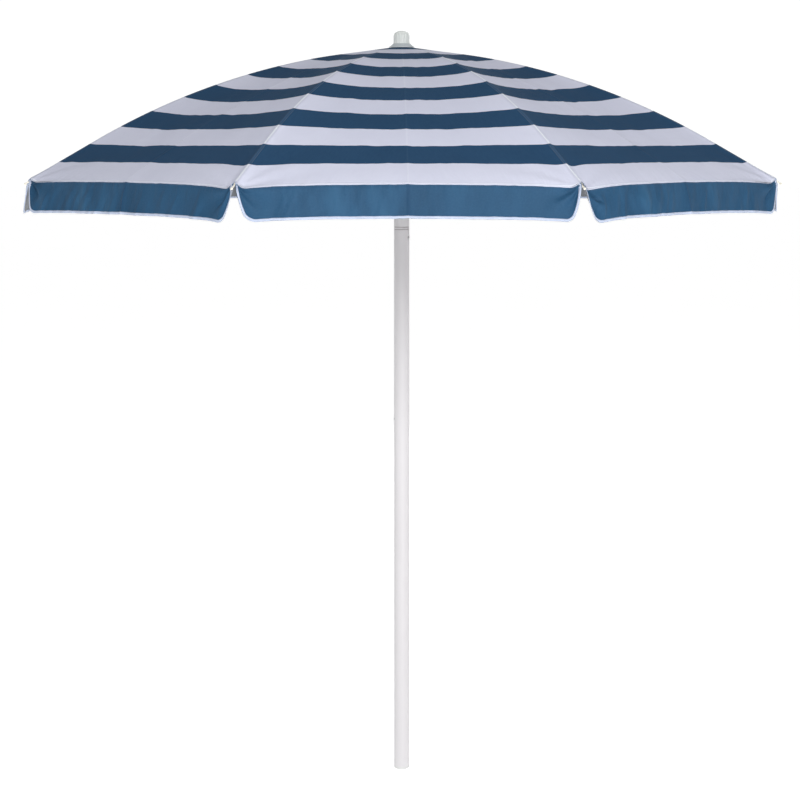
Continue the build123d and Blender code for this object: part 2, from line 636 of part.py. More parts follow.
RIB_NODES = {
    "rib": rib,
    "rib_tip": rib_tip,
    "rib_bracket": rib_bracket,
    "stretcher": stretcher,
    "canopy": canopy_sector,
}
for name, make in RIB_NODES.items():
    for number, shape in enumerate(at_ribs(make()), start=1):
        write(shape, f"{name}_{number}")
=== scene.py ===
import json
import math

import bmesh
import bpy
from mathutils import Matrix, Vector, noise


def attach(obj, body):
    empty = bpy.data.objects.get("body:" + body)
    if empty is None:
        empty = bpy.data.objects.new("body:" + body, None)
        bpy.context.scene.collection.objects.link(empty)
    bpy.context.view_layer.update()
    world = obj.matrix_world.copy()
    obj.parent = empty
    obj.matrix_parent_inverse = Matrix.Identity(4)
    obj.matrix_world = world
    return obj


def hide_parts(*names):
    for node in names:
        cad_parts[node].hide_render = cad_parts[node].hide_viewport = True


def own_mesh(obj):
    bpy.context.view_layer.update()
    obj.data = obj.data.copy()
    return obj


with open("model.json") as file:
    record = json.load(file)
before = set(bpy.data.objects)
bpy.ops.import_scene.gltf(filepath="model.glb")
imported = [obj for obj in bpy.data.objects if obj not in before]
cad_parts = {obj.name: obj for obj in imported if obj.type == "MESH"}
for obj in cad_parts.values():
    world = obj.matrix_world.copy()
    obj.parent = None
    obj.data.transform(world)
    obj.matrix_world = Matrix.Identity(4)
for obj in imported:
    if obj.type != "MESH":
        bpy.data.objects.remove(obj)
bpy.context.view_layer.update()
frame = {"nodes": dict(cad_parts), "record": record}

# Looks of the beach umbrella, in metres, in the CAD model's own frame. The canopy's shape
# repeats the CAD model's formulas; the rest of the CAD model is shown with better materials.
NODES = frame["nodes"]

# ---------------------------------------------------------------- dimensions from the CAD model
RIBS = 8
STEP = math.radians(360 / RIBS)
HALF = STEP / 2
SIN_HALF, COS_HALF = math.sin(HALF), math.cos(HALF)
RADIUS = 0.777
CROWN_HEIGHT = 1.5226
CROWN_SLOPE = math.radians(8.2)
HEM_SLOPE = math.radians(29.36)
BEND_START = 0.165 * RADIUS
BEND_END = 0.8346 * RADIUS
BEND_RADIUS = (BEND_END - BEND_START) / (math.sin(HEM_SLOPE) - math.sin(CROWN_SLOPE))
BEND_X = BEND_START - BEND_RADIUS * math.sin(CROWN_SLOPE)
BEND_Z = CROWN_HEIGHT - BEND_START * math.tan(CROWN_SLOPE) - BEND_RADIUS * math.cos(CROWN_SLOPE)
PANEL_SAG = 0.0173 * RADIUS
CROWN_HOLE = 0.021
VALANCE_DROP = 0.060
VALANCE_FLARE = math.tan(math.radians(10))
# A valance's ends, seen from outside: distance from the rib at the hem and at the lower edge,
# how late the edge curves away, and the radius of the lower corner.
# 1 is the right end, -1 the left.
ENDS = {1: (0.0006, 0.0170, 2.3, 0.010), -1: (0.0010, 0.0220, 1.6, 0.015)}
# Cloth is never quite even. By panel: how deep a valance's folds are, as a share. The panel
# between the two front ribs hangs nearly flat.
FOLDS = {6: 0.35, 5: 1.0, 7: 1.15}
USUAL_FOLDS = 0.8
# By (panel, end): depth of the tuck that runs down from a valance's sewn corner, how far the
# hem droops beside the rib, and how far the valance's end leans out.
TUCKS = {(7, -1): 0.0110, (6, 1): 0.0030, (6, -1): 0.0015, (5, 1): 0.0035}
USUAL_TUCK = 0.0040
DROOP = {(7, -1): 0.0130, (6, -1): 0.0100, (6, 1): 0.0065, (5, 1): 0.0115, (5, -1): 0.0040}
USUAL_DROOP = 0.0080
LEAN = {(7, 1): -0.0050, (0, -1): -0.0040}
USUAL_LEAN = 0.0045
CLOTH = 0.0007
BINDING = 0.0047  # width of the white binding round each valance
STRIPE = 0.0645
GROOVES = (1.1434, 1.1480)  # heights of the two crimped rings in the pole
CAP_SIDE = (1.5377, 0.0095)  # mid height and half height of the finial's fluted side
CAP_FLANGE = (1.5190, 0.0078)

# ---------------------------------------------------------------- details of the materials
FLUTES = 28
WEAVE_PITCH = 0.0011
TAPE_PITCH = 0.0013
CLOTH_BUMP = 0.0022
RIB_STITCH = 0.0034  # from the seam over a rib to the row of stitches beside it
HEM_STITCH = 0.0035
TAPE_STITCH = 0.0045

# ---------------------------------------------------------------- strips of cloth over the ribs
# Each rib carries its cloth in a middle strip and two outer strips, which agree along the line
# between them.
MIDDLE_REACH = 0.045

# ---------------------------------------------------------------- mesh sizes
OUTER_CELLS = 20  # across an outer strip of the canopy
MIDDLE_CELLS = 7  # on either side of the rib in a middle strip
END_COLUMNS = 26  # columns of a valance on either side of a rib, and of the rest
SIDE_COLUMNS = 80
END_CELLS = 14  # along the straight part of a valance's end
CORNER_STEP = 10  # degrees


def panel_beside(index, half):
    """Panel on one side of a rib; half is 1 for the panel before it, -1 for the one after it."""
    return (index + (0 if half > 0 else 1)) % RIBS


def outward(panel):
    """Level direction from the pole to the middle of a panel."""
    return Vector((math.cos(STEP * panel), math.sin(STEP * panel), 0))


# ---------------------------------------------------------------- the cloth's surface
def rib_height(radius):
    """Height of the cloth over a rib."""
    if radius <= BEND_START:
        return CROWN_HEIGHT - radius * math.tan(CROWN_SLOPE)
    if radius >= BEND_END:
        end = BEND_Z + BEND_RADIUS * math.cos(HEM_SLOPE)
        return end - (radius - BEND_END) * math.tan(HEM_SLOPE)
    return BEND_Z + math.sqrt(BEND_RADIUS**2 - (radius - BEND_X) ** 2)


def sag(radius, across):
    """How far the cloth hangs below its ribs; across is 0 at the panel's crease and 1 at a rib."""
    share = max(0.0, radius / RADIUS - 0.1) / 0.9
    deepest = PANEL_SAG * abs(math.sin(math.pi * min(1.0, share) ** 1.2)) ** 1.2
    return deepest * (1 - abs(across) ** 2.5)


def ramp(value, start, end):
    """Smooth step from 0 at start to 1 at end."""
    t = min(1.0, max(0.0, (value - start) / (end - start)))
    return t * t * (3 - 2 * t)


def relief(panel, radius, across):
    """Folds and unevenness that stand on the smooth surface."""
    from_crease = abs(across) * radius * SIN_HALF
    from_rib = (1 - abs(across)) * radius * SIN_HALF
    from_hem = RADIUS - radius
    side = math.copysign(1, across)
    open_part = ramp(radius, 0.06, 0.2)
    slack = noise.noise(Vector((across * radius * 9, radius * 6, panel * 7.3)))
    slack += 0.5 * noise.noise(Vector((across * radius * 26, radius * 11, panel * 3.7 + 40)))
    rise = 0.0016 * slack * open_part * (1 - across**2) * (1 - 0.7 * math.exp(-from_hem / 0.05))
    # pressed crease down the middle of the panel
    rise += 0.0009 * math.exp(-from_crease / 0.007) * ramp(radius, 0.15, 0.35)
    # seam over the rib
    rise += 0.0008 * math.exp(-((from_rib / 0.0035) ** 2)) * open_part
    # folds that fan out from the sewn corner
    reach = math.hypot(from_hem, from_rib)
    turn = math.atan2(from_rib, from_hem)
    phase = 2.1 * panel + 1.3 * side
    fan = math.exp(-reach / 0.10) * (1 - math.exp(-reach / 0.012)) * math.sin(turn)
    rise += 0.0017 * fan * math.sin(9.5 * turn + phase)
    # the cloth droops beside each rib, where the rib's cap does not hold it up
    over_cap = math.exp(-((from_rib / 0.010) ** 2))
    droop = DROOP.get((panel, int(side)), USUAL_DROOP)
    held = 1 - over_cap * (0.7 + 0.3 * math.exp(-from_hem / 0.03))
    rise -= droop * math.exp(-from_rib / 0.075) * math.exp(-from_hem / 0.09) * held
    # tight hem: the edge turns down a little
    edge = max(0.0, 1 - from_hem / (0.05 * RADIUS)) ** 2
    rise -= edge * 0.0026 * (1 - over_cap)
    pucker = noise.noise(Vector((across * radius * 42, panel * 5.1, 3.3)))
    rise += 0.0004 * pucker * math.exp(-from_hem / 0.018) * (1 - over_cap)
    return rise


def stripe_shift(radius, across):
    """How far the stripes run towards the hem beside a rib."""
    from_rib = (1 - abs(across)) * radius * SIN_HALF
    return 0.0062 * math.exp(-from_rib / 0.055) * ramp(radius, 0.3, 0.6)


def panel_point(panel, radius, across):
    """Point on the cloth's outer face, in the row frame."""
    height = rib_height(radius) - sag(radius, across) + relief(panel, radius, across)
    place = Vector((radius * COS_HALF, across * radius * SIN_HALF, height))
    return Matrix.Rotation(STEP * panel, 3, "Z") @ place


def arc_lengths(count=600):
    """(distance from the hem along the crease, radius at the ribs), from the hem to the crown."""
    rows = []
    length, last = 0.0, None
    for step in range(count + 1):
        radius = RADIUS + (CROWN_HOLE - RADIUS) * step / count
        here = Vector((radius * COS_HALF, rib_height(radius) - sag(radius, 0)))
        length += (here - last).length if last else 0.0
        rows.append((length, radius))
        last = here
    return rows


ARC = arc_lengths()


def radius_at(length):
    """Radius at the ribs of the line that lies this far from the hem."""
    for (low, outer), (high, inner) in zip(ARC, ARC[1:]):
        if length <= high:
            return outer + (inner - outer) * (length - low) / (high - low)
    return ARC[-1][1]


def length_at(radius):
    """Distance from the hem, along the crease, of the line at this radius."""
    for (low, outer), (high, inner) in zip(ARC, ARC[1:]):
        if radius >= inner:
            return low + (high - low) * (outer - radius) / (outer - inner)
    return ARC[-1][0]


def strip_start(radius):
    """Share of the panel's half width, from the crease, where the middle strip begins."""
    return max(0.0, 1 - MIDDLE_REACH / (radius * SIN_HALF * COS_HALF))


APEX = MIDDLE_REACH / (SIN_HALF * COS_HALF)  # radius where the outer strips begin


def canopy_rows(pitch=0.0107, closest=0.003):
    """(distance from the hem, radius) of the mesh rows, closer together beside the hem."""
    crown, apex = ARC[-1][0], length_at(APEX)
    places = [0, 0.003, 0.007, 0.012, 0.018, 0.025, 0.033]
    while places[-1] < crown - 0.014:
        places.append(places[-1] + pitch)
    rows = [(v, radius_at(v)) for v in places if abs(v - apex) > closest]
    return sorted(rows + [(apex, APEX), (crown, CROWN_HOLE)])


ROWS = canopy_rows()


# ---------------------------------------------------------------- mesh helpers
def mesh_object(name, vertices, faces, maps, materials):
    """Smooth mesh with named UV maps, each given as one (u, v) for every vertex."""
    mesh = bpy.data.meshes.new(name)
    mesh.from_pydata([tuple(v) for v in vertices], [], faces)
    for label, values in maps.items():
        layer = mesh.uv_layers.new(name=label)
        for loop in mesh.loops:
            layer.data[loop.index].uv = values[loop.vertex_index]
    for material in materials:
        mesh.materials.append(material)
    edit = bmesh.new()
    edit.from_mesh(mesh)
    bmesh.ops.remove_doubles(edit, verts=edit.verts, dist=1e-6)
    bmesh.ops.dissolve_degenerate(edit, edges=edit.edges, dist=1e-7)
    edit.to_mesh(mesh)
    edit.free()
    for face in mesh.polygons:
        face.use_smooth = True
    made = bpy.data.objects.new(name, mesh)
    bpy.context.scene.collection.objects.link(made)
    return made


def grid_faces(rows, columns, first=0, flip=False):
    """Four-sided faces of a grid whose points run column by column along each row."""
    faces = []
    for row in range(rows - 1):
        for column in range(columns - 1):
            a = first + row * columns + column
            face = (a, a + 1, a + columns + 1, a + columns)
            faces.append(face[::-1] if flip else face)
    return faces


def two_faced(made):
    """Gives a sheet its inner face, in the material after its outer one."""
    shell = made.modifiers.new("thickness", "SOLIDIFY")
    shell.thickness = CLOTH
    shell.offset = -1
    shell.use_rim = False
    shell.material_offset = 1


# ---------------------------------------------------------------- node helpers
class Graph:
    """Node material around one Principled shader."""

    def __init__(self, name, colour, roughness, **settings):
        self.material = bpy.data.materials.new(name)
        self.material.use_nodes = True
        self.tree = self.material.node_tree
        self.shader = self.tree.nodes["Principled BSDF"]
        self.put("Base Color", colour)
        self.put("Roughness", roughness)
        for socket, value in settings.items():
            self.put(socket.replace("_", " "), value)

    def put(self, socket, value):
        target = self.shader.inputs[socket]
        if isinstance(value, bpy.types.NodeSocket):
            self.tree.links.new(value, target)
        elif isinstance(value, tuple):
            target.default_value = (*value, 1)
        else:
            target.default_value = value

    def add(self, kind, inputs=(), **settings):
        """New node with its inputs set or linked; returns its first output."""
        node = self.tree.nodes.new(f"ShaderNode{kind}")
        for key, value in settings.items():
            setattr(node, key, value)
        pairs = inputs.items() if isinstance(inputs, dict) else enumerate(inputs)
        for key, value in pairs:
            if isinstance(value, bpy.types.NodeSocket):
                self.tree.links.new(value, node.inputs[key])
            else:
                node.inputs[key].default_value = value
        return node.outputs[0]

    def math(self, operation, *values):
        return self.add("Math", values, operation=operation)

    def parts(self, vector):
        """x, y and z of a vector."""
        split = self.tree.nodes.new("ShaderNodeSeparateXYZ")
        self.tree.links.new(vector, split.inputs[0])
        return split.outputs

    def uv(self, name):
        """u and v of a named map, and both together."""
        node = self.tree.nodes.new("ShaderNodeUVMap")
        node.uv_map = name
        both = node.outputs[0]
        return *self.parts(both)[:2], both

    def place(self):
        """Position on the object at rest."""
        return self.tree.nodes.new("ShaderNodeTexCoord").outputs["Object"]

    def noise(self, vector, scale, detail=3.0, rough=0.5):
        values = {"Vector": vector, "Scale": scale, "Detail": detail, "Roughness": rough}
        return self.add("TexNoise", values)

    def stretch(self, vector, x, y, z):
        return self.add("Mapping", {"Vector": vector, "Scale": (x, y, z)})

    def mix(self, share, a, b):
        """Colour between a and b."""
        node = self.tree.nodes.new("ShaderNodeMix")
        node.data_type = "RGBA"
        for key, value in ((0, share), (6, a), (7, b)):
            if isinstance(value, bpy.types.NodeSocket):
                self.tree.links.new(value, node.inputs[key])
            elif isinstance(value, tuple):
                node.inputs[key].default_value = (*value, 1)
            else:
                node.inputs[key].default_value = value
        return node.outputs[2]

    def span(self, value, start, end, most):
        """0 where value is start, and this most where it is end."""
        limits = {"From Min": start, "From Max": end, "To Min": 0.0, "To Max": most}
        return self.add("MapRange", {"Value": value, **limits})

    def fade(self, value, rate):
        """1 where value is 0, dying out as value grows."""
        return self.math("POWER", 2.718, self.math("MULTIPLY", value, -rate))

    def line(self, value, place, half, soft):
        """1 where value is within half of place, falling to 0 over soft."""
        off = self.math("ABSOLUTE", self.math("SUBTRACT", value, place))
        return self.add(
            "MapRange",
            {"Value": off, "From Min": half, "From Max": half + soft, "To Min": 1.0, "To Max": 0.0},
            interpolation_type="SMOOTHSTEP",
        )

    def bump(self, height, distance):
        made = self.add("Bump", {"Strength": 1.0, "Distance": distance, "Height": height})
        self.tree.links.new(made, self.shader.inputs["Normal"])


def tone(red, green, blue):
    """Linear colour from 8-bit display values."""

    def linear(value):
        value /= 255
        return value / 12.92 if value <= 0.04045 else ((value + 0.055) / 1.055) ** 2.4

    return tuple(linear(v) for v in (red, green, blue))


# ---------------------------------------------------------------- cloth materials
def weave(graph, u, v):
    """Height of a plain weave, from 0 to 1."""
    waves = []
    for value in (u, v):
        turn = graph.math("MULTIPLY", value, 2 * math.pi / WEAVE_PITCH)
        waves.append(graph.math("SINE", turn))
    both = graph.math("MULTIPLY", *waves)
    return graph.math("MULTIPLY_ADD", both, 0.5, 0.5)


def stitches(graph, across, place, along, pitch=0.0034):
    """Row of thread stitches on the line where across equals place."""
    row = graph.line(across, place, 0.00035, 0.00025)
    phase = graph.math("FRACT", graph.math("DIVIDE", along, pitch))
    dash = graph.line(phase, 0.5, 0.28, 0.1)
    return graph.math("MULTIPLY", row, dash)


def striped_cloth():
    """Outer face of the canopy: navy and white stripes, seams over the ribs, pressed crease."""
    graph = Graph("canopy_striped_cloth", (0.5, 0.5, 0.5), 0.8, Specular_IOR_Level=0.05)
    u, v, flat = graph.uv("cloth")
    crease, along = graph.uv("crease")[:2]
    uneven = graph.noise(graph.stretch(flat, 60, 3, 1), 1.0)
    wobble = graph.math("MULTIPLY_ADD", uneven, 0.0012, -0.0006)
    along = graph.math("ADD", along, wobble)
    share = graph.math("FRACT", graph.math("DIVIDE", along, 2 * STRIPE))
    navy_share = graph.line(share, 0.75, 0.2485, 0.002)
    slow = graph.noise(flat, 7.0, 4.0)
    fine = graph.noise(graph.stretch(flat, 1, 0.25, 1), 260.0, 2.0)
    navy = graph.mix(slow, tone(35, 65, 95), tone(46, 77, 109))
    navy = graph.mix(graph.math("MULTIPLY", fine, 0.3), navy, tone(58, 92, 124))
    white = graph.mix(slow, tone(213, 216, 235), tone(225, 227, 243))
    white = graph.mix(graph.math("MULTIPLY", fine, 0.3), white, tone(205, 208, 226))
    colour = graph.mix(navy_share, white, navy)
    # painted highlight: lighter lines along the pressed crease, the seam over each rib and the
    # turned-down hem
    painted_highlight_tone = graph.mix(navy_share, tone(242, 247, 255), tone(68, 96, 126))
    seam = graph.math("ABSOLUTE", u)
    painted_shading_mask = graph.math("MULTIPLY", graph.line(crease, 0.0, 0.0004, 0.0020), 0.16)
    ridge = graph.math("MULTIPLY", graph.line(seam, 0.0, 0.0010, 0.0014), 0.85)
    fold = graph.math("MULTIPLY", graph.line(v, 0.0, 0.0014, 0.0012), 0.45)
    painted_shading_mask = graph.math("MAXIMUM", graph.math("MAXIMUM", painted_shading_mask, ridge), fold)
    colour = graph.mix(painted_shading_mask, colour, painted_highlight_tone)
    beside_rib = stitches(graph, seam, RIB_STITCH, v)
    thread = graph.math("MAXIMUM", beside_rib, stitches(graph, v, HEM_STITCH, u))
    colour = graph.mix(graph.math("MULTIPLY", thread, 0.22), colour, tone(200, 208, 222))
    graph.put("Base Color", colour)
    graph.put("Roughness", graph.math("MULTIPLY_ADD", slow, 0.12, 0.70))
    pucker = graph.noise(graph.stretch(flat, 70, 9, 1), 1.0, 2.0)
    height = graph.math("MULTIPLY", pucker, graph.fade(v, 38.0))
    side = graph.noise(graph.stretch(flat, 9, 120, 1), 1.0, 2.0)
    side = graph.math("MULTIPLY", side, graph.fade(seam, 70.0))
    height = graph.math("MULTIPLY_ADD", side, 0.45, height)
    height = graph.math("MULTIPLY_ADD", weave(graph, u, v), 0.035, height)
    height = graph.math("MULTIPLY_ADD", thread, -0.18, height)
    height = graph.math("MULTIPLY_ADD", graph.noise(flat, 34.0, 3.0), 0.22, height)
    graph.bump(height, CLOTH_BUMP)
    return graph.material


def valance_cloth():
    """Outer face of the hanging valance: plain navy, lighter than the stripes."""
    graph = Graph("valance_navy_cloth", (0.1, 0.2, 0.3), 0.6, Specular_IOR_Level=0.14)
    u, v, flat = graph.uv("cloth")
    crease = graph.uv("crease")[0]
    slow = graph.noise(graph.stretch(flat, 1, 0.4, 1), 11.0, 4.0)
    fine = graph.noise(flat, 300.0, 2.0)
    navy = graph.mix(slow, tone(29, 65, 95), tone(39, 77, 109))
    # painted light and shade: lighter and darker streaks that follow the folds raised by the bump
    # below
    streak = graph.noise(graph.stretch(flat, 19, 7, 1), 1.0, 3.0)
    uneven = graph.span(graph.noise(graph.place(), 2.6), 0.4, 0.62, 1.0)
    light = graph.span(streak, 0.5, 0.72, 0.6)
    dark = graph.span(streak, 0.52, 0.30, 0.75)
    navy = graph.mix(graph.math("MULTIPLY", light, uneven), navy, tone(58, 104, 138))
    navy = graph.mix(graph.math("MULTIPLY", dark, uneven), navy, tone(14, 38, 60))
    navy = graph.mix(graph.math("MULTIPLY", fine, 0.3), navy, tone(62, 102, 134))
    # painted shade: the pressed crease is darker
    painted_shading_mask = graph.math("MULTIPLY", graph.line(crease, 0.0, 0.0022, 0.0025), 0.45)
    colour = graph.mix(painted_shading_mask, navy, tone(30, 62, 92))
    # the canopy's white hem is turned down over the valance's top
    turned = graph.line(v, 0.0, 0.0016, 0.0005)
    colour = graph.mix(turned, colour, tone(200, 204, 220))
    thread = stitches(graph, v, HEM_STITCH, u)
    colour = graph.mix(graph.math("MULTIPLY", thread, 0.12), colour, tone(150, 170, 194))
    graph.put("Base Color", colour)
    graph.put("Roughness", graph.math("MULTIPLY_ADD", slow, 0.10, 0.52))
    pucker = graph.noise(graph.stretch(flat, 75, 12, 1), 1.0, 2.0)
    near_top = graph.math("MULTIPLY_ADD", graph.fade(v, 60.0), 0.9, 0.35)
    height = graph.math("MULTIPLY", pucker, near_top)
    height = graph.math("MULTIPLY_ADD", graph.math("MULTIPLY", streak, uneven), 4.5, height)
    height = graph.math("MULTIPLY_ADD", weave(graph, u, v), 0.035, height)
    height = graph.math("MULTIPLY_ADD", thread, -0.2, height)
    graph.bump(height, CLOTH_BUMP)
    return graph.material


def coated_lining():
    """Inner face of the cloth: grey sun-shade coating with the weave showing through."""
    graph = Graph("canopy_grey_coating", (0.5, 0.5, 0.5), 0.55, Metallic=0.0, Sheen_Weight=0.05)
    u, v, flat = graph.uv("cloth")
    slow = graph.noise(flat, 8.0, 5.0)
    fine = graph.noise(flat, 220.0, 2.0)
    grey = graph.mix(slow, tone(104, 107, 112), tone(124, 127, 133))
    grey = graph.mix(graph.math("MULTIPLY", fine, 0.3), grey, tone(92, 96, 104))
    thread = stitches(graph, graph.math("ABSOLUTE", u), RIB_STITCH, v)
    thread = graph.math("MULTIPLY", thread, 0.6)
    graph.put("Base Color", graph.mix(thread, grey, tone(190, 192, 196)))
    graph.put("Roughness", graph.math("MULTIPLY_ADD", slow, 0.15, 0.48))
    cloud = graph.noise(flat, 40.0, 3.0)
    graph.bump(graph.math("MULTIPLY_ADD", weave(graph, u, v), 0.05, cloud), 0.0009)
    return graph.material


def binding_cloth():
    """White tape folded over the valance's edge, with one row of stitches."""
    sheen = {"Sheen_Weight": 0.15, "Sheen_Roughness": 0.5}
    graph = Graph("binding_white_tape", (0.9, 0.9, 0.9), 0.7, **sheen)
    u, v, flat = graph.uv("cloth")
    slow = graph.noise(flat, 30.0, 3.0)
    white = graph.mix(slow, tone(176, 187, 210), tone(192, 201, 222))
    thread = stitches(graph, v, TAPE_STITCH, u)
    seen = graph.math("MULTIPLY", thread, 0.35)
    graph.put("Base Color", graph.mix(seen, white, tone(178, 186, 204)))
    ribbed = graph.math("SINE", graph.math("MULTIPLY", u, 2 * math.pi / TAPE_PITCH))
    rough = graph.noise(graph.stretch(flat, 90, 60, 1), 1.0)
    height = graph.math("MULTIPLY_ADD", ribbed, 0.12, rough)
    graph.bump(graph.math("MULTIPLY_ADD", thread, -0.5, height), 0.0007)
    return graph.material


STRIPED = striped_cloth()
NAVY = valance_cloth()
LINING = coated_lining()
TAPE = binding_cloth()


# ---------------------------------------------------------------- canopy
def carry(made, index):
    """Hangs cloth on its rib."""
    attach(made, f"rib_{index + 1}")
    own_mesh(made)


def side_name(side):
    return {0: "middle", 1: "left", -1: "right"}[side]


def strip_columns(radius, side):
    """(panel offset, across, distance from the rib) along one row of a strip."""
    start = strip_start(radius)
    half = radius * SIN_HALF
    if side:
        shares = [start * n / OUTER_CELLS for n in range(OUTER_CELLS + 1)]
        shares.sort(reverse=side > 0)
        return [(1 if side > 0 else 0, -side * s, side * (1 - s) * half) for s in shares]
    shares = [start + (1 - start) * n / MIDDLE_CELLS for n in range(MIDDLE_CELLS + 1)]
    left = [(0, s, -(1 - s) * half) for s in shares]
    right = [(1, -s, (1 - s) * half) for s in shares[-2::-1]]
    return left + right


def canopy_strip(index, side):
    """Cloth over one rib: the middle strip, or the outer strip on one side of it."""
    rows = [(v, radius) for v, radius in ROWS if not side or radius >= APEX]
    vertices, cloth, crease = [], [], []
    columns = len(strip_columns(RADIUS, side))
    for v, radius in rows:
        row = strip_columns(radius, side)
        for offset, across, from_rib in row:
            vertices.append(panel_point((index + offset) % RIBS, radius, across))
            cloth.append((from_rib, v))
            crease.append((abs(across) * radius * SIN_HALF, v + stripe_shift(radius, across)))
    faces = grid_faces(len(rows), columns)
    name = f"canopy_{index + 1}_{side_name(side)}"
    made = mesh_object(name, vertices, faces, {"cloth": cloth, "crease": crease}, [STRIPED, LINING])
    two_faced(made)
    carry(made, index)
    wide = max(abs(strip_columns(r, side)[-1][2] - strip_columns(r, side)[0][2]) for v, r in rows)
    if not side:
        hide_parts(f"canopy_{index + 1}")
    return made


# ---------------------------------------------------------------- valance
SPLIT = strip_start(RADIUS) * RADIUS * SIN_HALF  # where the middle strip's valance begins


def valance_point(panel, lateral, drop):
    """Point on the valance's outer face; lateral runs from the crease, drop from the hem."""
    half = RADIUS * SIN_HALF
    hem = panel_point(panel, RADIUS, max(-1.0, min(1.0, lateral / half)))
    share = drop / VALANCE_DROP
    # the cloth rolls over the hem before it hangs
    roll = 0.0022 * (1 - math.exp(-drop / 0.003))
    swing = noise.noise(Vector((lateral * 13, panel * 4.7, 1.7)))
    swing += 0.6 * noise.noise(Vector((lateral * 34, panel * 2.9, share * 0.8 + 9)))
    out = roll + drop * VALANCE_FLARE + 0.0036 * swing * share
    # pressed crease, a wedge that opens towards the lower edge
    folds = FOLDS.get(panel, USUAL_FOLDS)
    wedge = 0.0018 + 0.0042 * (folds - 0.35)
    out += wedge * share * math.exp(-abs(lateral) / (0.002 + 0.006 * share))
    # upright folds, sharper on one flank, that die out towards the free ends
    side = int(math.copysign(1, lateral))
    from_end = max(0.0, half - abs(lateral))
    deep = folds * ramp(from_end, 0.008, 0.05)
    drape = noise.noise(Vector((lateral * 40 + share * 0.9, panel * 6.1, 21.0)))
    out += 0.0054 * deep * (1 - abs(drape) * 2) * ramp(share, 0.0, 0.6) * (0.5 + swing)
    fine = noise.noise(Vector((lateral * 95 + share * 2.4, panel * 3.7, share * 1.6)))
    out += 0.0016 * deep * fine * ramp(share, 0.0, 0.4) * (0.7 + swing)
    # the free ends stand out, and folds run down from the sewn corner
    out += LEAN.get((panel, side), USUAL_LEAN) * math.exp(-from_end / 0.05) * share
    reach = math.hypot(from_end, drop)
    turn = math.atan2(drop, from_end)
    fan = math.exp(-reach / 0.045) * (1 - math.exp(-reach / 0.010))
    out += 0.0050 * fan * math.sin(8.5 * turn + 2.3 * panel + 0.9 * side)
    steep = 0.85 + 0.3 * math.sin(2.7 * panel + side)
    tuck = (drop - steep * (from_end - 0.004)) / math.hypot(1, steep)
    depth = TUCKS.get((panel, side), USUAL_TUCK) * math.exp(-((tuck / 0.0034) ** 2))
    out -= depth * ramp(reach, 0.008, 0.02) * ramp(reach, 0.056, 0.040)
    pucker = noise.noise(Vector((lateral * 62, panel * 3.3, 6.1)))
    out += 0.0008 * pucker * math.exp(-drop / 0.012) * ramp(drop, 0, 0.003)
    return hem + outward(panel) * out - Vector((0, 0, drop))


def valance_edge(drop, side):
    """Distance from the crease to one of the valance's ends."""
    top, foot, late, corner = ENDS[side]
    edge = RADIUS * SIN_HALF - top - (foot - top) * (drop / VALANCE_DROP) ** late
    into = max(0.0, drop - (VALANCE_DROP - corner)) / corner
    return edge - corner * (1 - math.sqrt(max(0.0, 1 - into * into)))


def edge_inward(drop, side, step=0.0002):
    """Unit vector, as (lateral, drop), from a valance's end into the cloth."""
    low, high = min(VALANCE_DROP, drop + step), max(0.0, drop - step)
    slope = (valance_edge(low, side) - valance_edge(high, side)) / (low - high)
    return -1 / math.hypot(1, slope), slope / math.hypot(1, slope)


def drops(side):
    """Rows of the valance mesh, closer together round the lower corner."""
    corner = ENDS[side][3]
    rows = [0, 0.002, 0.004, 0.007, 0.010]
    pitch = 0.0030
    rows += [0.0130 + pitch * n for n in range(18) if 0.0145 + pitch * n < VALANCE_DROP - corner]
    for degrees in range(0, 90, CORNER_STEP):
        rows.append(VALANCE_DROP - corner * (1 - math.sin(math.radians(degrees))))
    return sorted(set(rows)) + [VALANCE_DROP]


def valance_span(side, half, drop):
    """Distances from the crease between which one row of a valance runs."""
    if side:
        return 0.0, SPLIT
    end = valance_edge(drop, half)
    return min(SPLIT, end), end


def valance_half(index, side, half, columns):
    """Grid of the part of a valance piece that hangs from one panel."""
    panel = panel_beside(index, half)
    vertices, cloth, crease = [], [], []
    for drop in drops(half):
        start, end = valance_span(side, half, drop)
        for column in range(columns):
            lateral = start + (end - start) * column / (columns - 1)
            vertices.append(valance_point(panel, half * lateral, drop))
            cloth.append((half * lateral, drop))
            crease.append((lateral, drop))
    return vertices, cloth, crease


def plan_area(corners):
    """Area of a flat polygon."""
    pairs = zip(corners, corners[1:] + corners[:1])
    return abs(sum(a[0] * b[1] - b[0] * a[1] for a, b in pairs)) / 2


def valance_piece(index, side):
    """Valance of the middle strip, which has both sides of the notch, or of an outer strip.

    Returns the piece, the cloth's area, and that area over the one without folds.
    """
    vertices, cloth, crease, faces = [], [], [], []
    parts = [(1, END_COLUMNS), (-1, END_COLUMNS)] if not side else [(-side, SIDE_COLUMNS)]
    for half, columns in parts:
        v, c, k = valance_half(index, side, half, columns)
        faces += grid_faces(len(drops(half)), columns, len(vertices), flip=half > 0)
        vertices += v
        cloth += c
        crease += k
    name = f"valance_{index + 1}_{side_name(side)}"
    made = mesh_object(name, vertices, faces, {"cloth": cloth, "crease": crease}, [NAVY, LINING])
    area = sum(face.area for face in made.data.polygons)  # along the cloth, folds included
    plan = sum(plan_area([cloth[n] for n in face]) for face in faces)
    two_faced(made)
    carry(made, index)
    return made, area, area / plan


